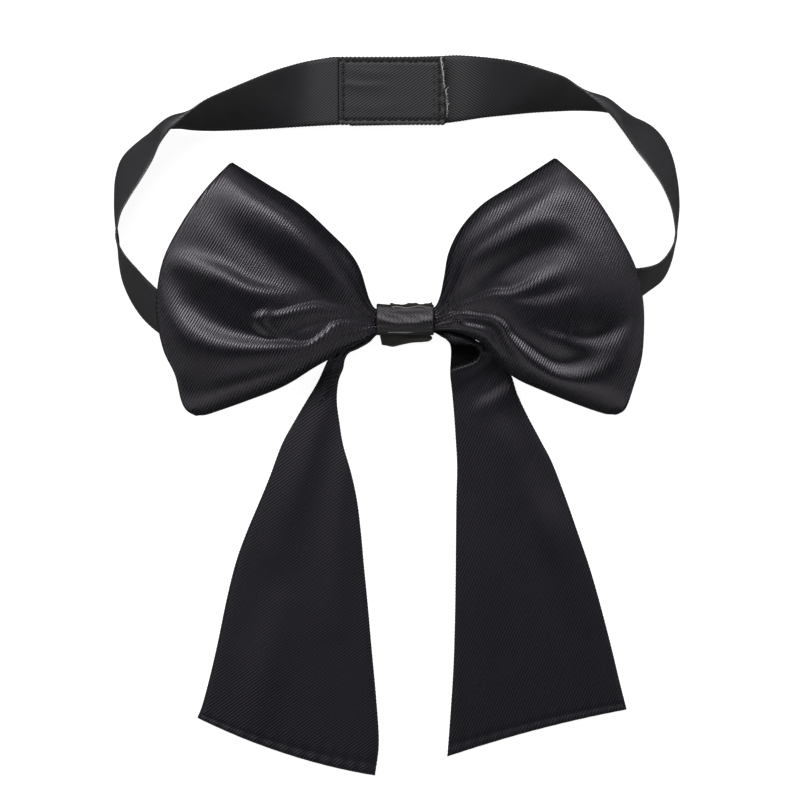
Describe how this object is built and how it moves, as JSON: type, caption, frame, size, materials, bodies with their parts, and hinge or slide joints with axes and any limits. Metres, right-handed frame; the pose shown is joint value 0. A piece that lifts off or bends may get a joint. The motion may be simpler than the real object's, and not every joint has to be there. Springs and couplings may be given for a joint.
{
  "type": "pre-tied bow tie with tails",
  "caption": "Floppy satin bow with a wrapped knot, long hanging tails and a ribbon neckband that closes at the nape with hook-and-loop tape.",
  "frame": {"origin": "middle of the knot's flat back, on the surface the bow tie lies on", "axes": "+Z out of the front of the bow, +Y from the knot towards the neckband closure, +X to the right of someone looking at the front; the tails point along -Y"},
  "size_m": [0.1504, 0.191, 0.0212],
  "materials": {
    "satin": "glossy black satin, fine diagonal twill",
    "satin_back": "matte reverse of black satin",
    "ribbon": "dull black twill ribbon with woven selvedges",
    "tape": "black nylon hook-and-loop pile",
    "thread": "black polyester sewing thread"
  },
  "bodies": {
    "bow_middle": {"knot_wrap": "satin", "gather_thread": "thread", "bow_core": "satin", "knot_tab": "satin_back", "tail_core": "satin_back", "left_tail_neck": "satin", "right_tail_turn": "satin", "right_tail_shoulder": "satin", "neckband_middle": "ribbon"},
    "bow_left": {"left_loop": "satin"},
    "bow_right": {"right_loop": "satin"},
    "tail_left": {"left_tail_back": "satin_back", "left_tail_front": "satin", "left_tail_end_stitch": "thread"},
    "tail_right": {"right_tail_back": "satin_back", "right_tail_front": "satin", "right_tail_end_stitch": "thread"},
    "strap_left": {"neckband_left": "ribbon"},
    "strap_right": {"neckband_right": "ribbon", "loop_tape": "tape"},
    "flap": {"closure_flap": "ribbon", "hook_tape": "tape", "patch_stitch_low": "thread", "patch_stitch_high": "thread", "patch_stitch_left": "thread", "patch_stitch_right": "thread", "patch_stitch_end": "thread"}
  },
  "joints": [
    {"name": "left_loop_lift", "type": "hinge", "parent": "bow_middle", "child": "bow_left", "pos_m": [-0.0081, 0, 0.0088], "axis": [0, 1, 0], "range_deg": [0, 25]},
    {"name": "right_loop_lift", "type": "hinge", "parent": "bow_middle", "child": "bow_right", "pos_m": [0.0081, 0, 0.0088], "axis": [0, -1, 0], "range_deg": [0, 25]},
    {"name": "left_tail_lift", "type": "hinge", "parent": "bow_middle", "child": "tail_left", "pos_m": [-0.0198, -0.01285, 0.0016], "axis": [-1, 0, 0], "range_deg": [0, 60]},
    {"name": "right_tail_lift", "type": "hinge", "parent": "bow_middle", "child": "tail_right", "pos_m": [0.0203, -0.01605, 0.0016], "axis": [-1, 0, 0], "range_deg": [0, 60]},
    {"name": "left_strap_swing", "type": "hinge", "parent": "bow_middle", "child": "strap_left", "pos_m": [-0.0763, 0.02115, 0.009], "axis": [0, 0, 1], "range_deg": [0, 70]},
    {"name": "right_strap_swing", "type": "hinge", "parent": "bow_middle", "child": "strap_right", "pos_m": [0.0721, 0.02135, 0.009], "axis": [0, 0, -1], "range_deg": [0, 70]},
    {"name": "closure_peel", "type": "hinge", "parent": "strap_left", "child": "flap", "pos_m": [-0.0175, 0.0604, 0.0044], "axis": [0, -1, 0], "range_deg": [0, 110]}
  ]
}
